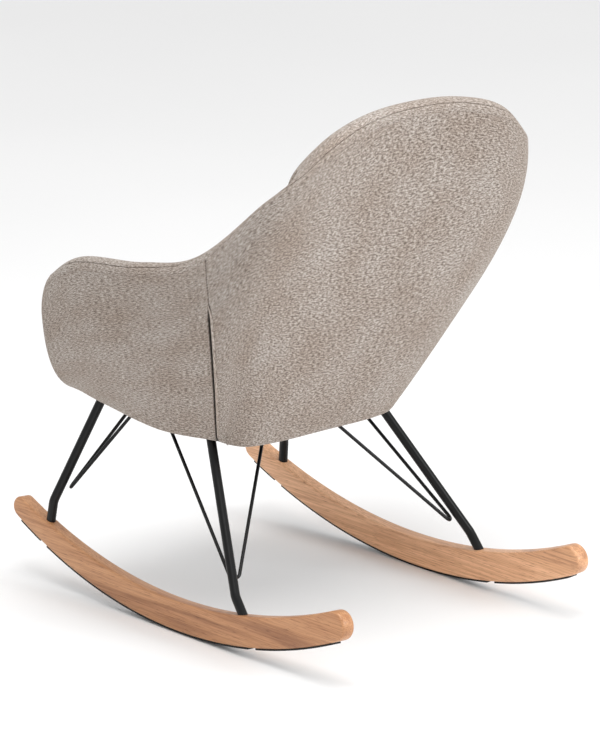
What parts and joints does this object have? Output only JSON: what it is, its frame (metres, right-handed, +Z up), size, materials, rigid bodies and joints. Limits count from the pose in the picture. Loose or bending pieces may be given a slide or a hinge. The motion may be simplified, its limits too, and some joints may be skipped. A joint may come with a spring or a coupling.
{
  "type": "rocking chair",
  "caption": "Upholstered bucket-seat rocking chair on braced steel legs with curved wooden rockers.",
  "frame": {"origin": "on the floor, below the middle of the chair's bounding box", "axes": "+Z up, -Y the way the sitter faces, +X the sitter's left"},
  "size_m": [0.7168, 0.852, 0.9179],
  "materials": {
    "hardwood": "clear satin lacquer on solid hardwood",
    "glide_rubber": "matt black strip",
    "black_steel": "satin black powder coat",
    "zinc_steel": "zinc-plated",
    "dust_cloth": "black non-woven cloth",
    "plywood": "bare birch plywood",
    "foam": "open-cell foam",
    "upholstery": "greige chenille weave"
  },
  "bodies": {
    "root": {"rocker_left": "hardwood", "rocker_right": "hardwood", "glide_front_left": "glide_rubber", "glide_mid_left": "glide_rubber", "glide_rear_left": "glide_rubber", "glide_front_right": "glide_rubber", "glide_mid_right": "glide_rubber", "glide_rear_right": "glide_rubber", "leg_front_left": "black_steel", "leg_rear_left": "black_steel", "leg_front_right": "black_steel", "leg_rear_right": "black_steel", "brace_front_left": "black_steel", "brace_rear_left": "black_steel", "brace_front_right": "black_steel", "brace_rear_right": "black_steel", "leg_plugs": "zinc_steel", "rocker_bolts": "zinc_steel", "rocker_washers": "zinc_steel", "rail_front": "black_steel", "rail_rear": "black_steel", "rail_left": "black_steel", "rail_right": "black_steel", "frame_tabs": "black_steel", "seat_bolts": "zinc_steel", "seat_washers": "zinc_steel", "tee_nuts": "zinc_steel", "bottom_cover": "dust_cloth", "seat_panel": "plywood", "seat_foam": "foam", "seat_cover": "upholstery", "shell_core": "plywood", "core_screws": "zinc_steel", "wall_foam": "foam", "inner_cover": "upholstery", "outer_back_cover": "upholstery", "outer_side_cover_left": "upholstery", "outer_side_cover_right": "upholstery", "rim_border": "upholstery", "seam_piping_left": "upholstery", "seam_piping_right": "upholstery"}
  },
  "joints": []
}
